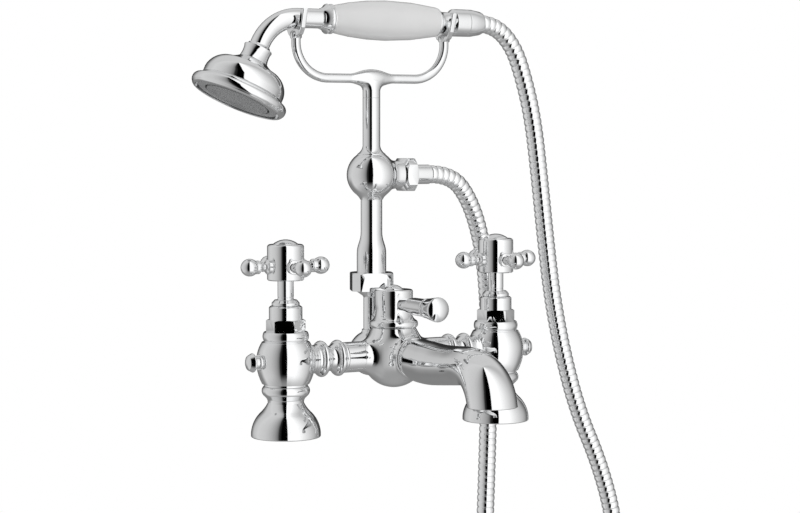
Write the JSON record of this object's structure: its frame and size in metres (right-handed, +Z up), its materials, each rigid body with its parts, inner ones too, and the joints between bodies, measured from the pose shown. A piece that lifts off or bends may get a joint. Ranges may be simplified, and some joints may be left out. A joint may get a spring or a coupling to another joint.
{
  "type": "bath shower mixer",
  "caption": "Deck mounted bath and shower mixer: two crosshead pillars, ball body with lever diverter, swan spout, riser, cradle, ceramic handset and ribbed hose.",
  "frame": {"origin": "midway between the two feet, on the deck", "axes": "+Z up, +X towards the cold pillar, -Y towards the spout"},
  "size_m": [0.3845, 0.2304, 0.6516],
  "materials": {
    "chrome": "polished chrome plate on brass",
    "hose_chrome": "polished ribbed metal hose",
    "grip_ceramic": "smooth white glaze",
    "disc_ceramic": "ground flat",
    "brass": "plain turned brass",
    "grey_plastic": "matte"
  },
  "bodies": {
    "mixer": {"hot_pillar": "chrome", "hot_gland": "chrome", "hot_spindle_nut": "chrome", "hot_fixed_disc": "disc_ceramic", "hot_side_plug": "chrome", "hot_arm": "chrome", "cold_pillar": "chrome", "cold_gland": "chrome", "cold_spindle_nut": "chrome", "cold_fixed_disc": "disc_ceramic", "cold_side_plug": "chrome", "cold_arm": "chrome", "centre_body": "chrome", "diverter_bush": "brass", "spout_ring": "chrome", "spout": "chrome", "flow_straightener": "grey_plastic", "riser_pipe": "chrome", "riser_union_nut": "chrome", "riser_tube": "chrome", "riser_ball_joint": "chrome", "riser_column": "chrome", "hose_outlet_nut": "chrome", "hose_outlet_ferrule": "chrome", "cradle_yoke": "chrome", "cradle_fork_left": "chrome", "cradle_fork_right": "chrome", "shower_hose": "hose_chrome"},
    "hot_handle": {"hot_crosshead": "chrome", "hot_button": "chrome", "hot_spindle": "chrome"},
    "cold_handle": {"cold_crosshead": "chrome", "cold_button": "chrome", "cold_spindle": "chrome"},
    "diverter": {"diverter_knob": "chrome", "diverter_button": "chrome", "diverter_lever": "chrome", "diverter_spindle": "chrome"},
    "handset": {"handset_grip": "grip_ceramic", "handset_inner_tube": "brass", "handset_ferrule": "chrome", "handset_neck": "chrome", "handset_tail": "chrome", "hose_cone_nut": "chrome", "head_collar": "chrome", "head_bell": "chrome", "head_rim": "chrome", "spray_plate": "grey_plastic"}
  },
  "joints": [
    {"name": "hot_turn", "type": "hinge", "parent": "mixer", "child": "hot_handle", "pos_m": [-0.09, 0, 0.11], "axis": [0, 0, 1], "range_deg": [0, 90]},
    {"name": "cold_turn", "type": "hinge", "parent": "mixer", "child": "cold_handle", "pos_m": [0.09, 0, 0.11], "axis": [0, 0, 1], "range_deg": [0, 90]},
    {"name": "diverter_turn", "type": "hinge", "parent": "mixer", "child": "diverter", "pos_m": [0, 0, 0.09], "axis": [0, 0, 1], "range_deg": [0, 90]},
    {"name": "handset_lift", "type": "slide", "parent": "mixer", "child": "handset", "axis": [0, 0, 1], "range_m": [0, 0.03]}
  ]
}
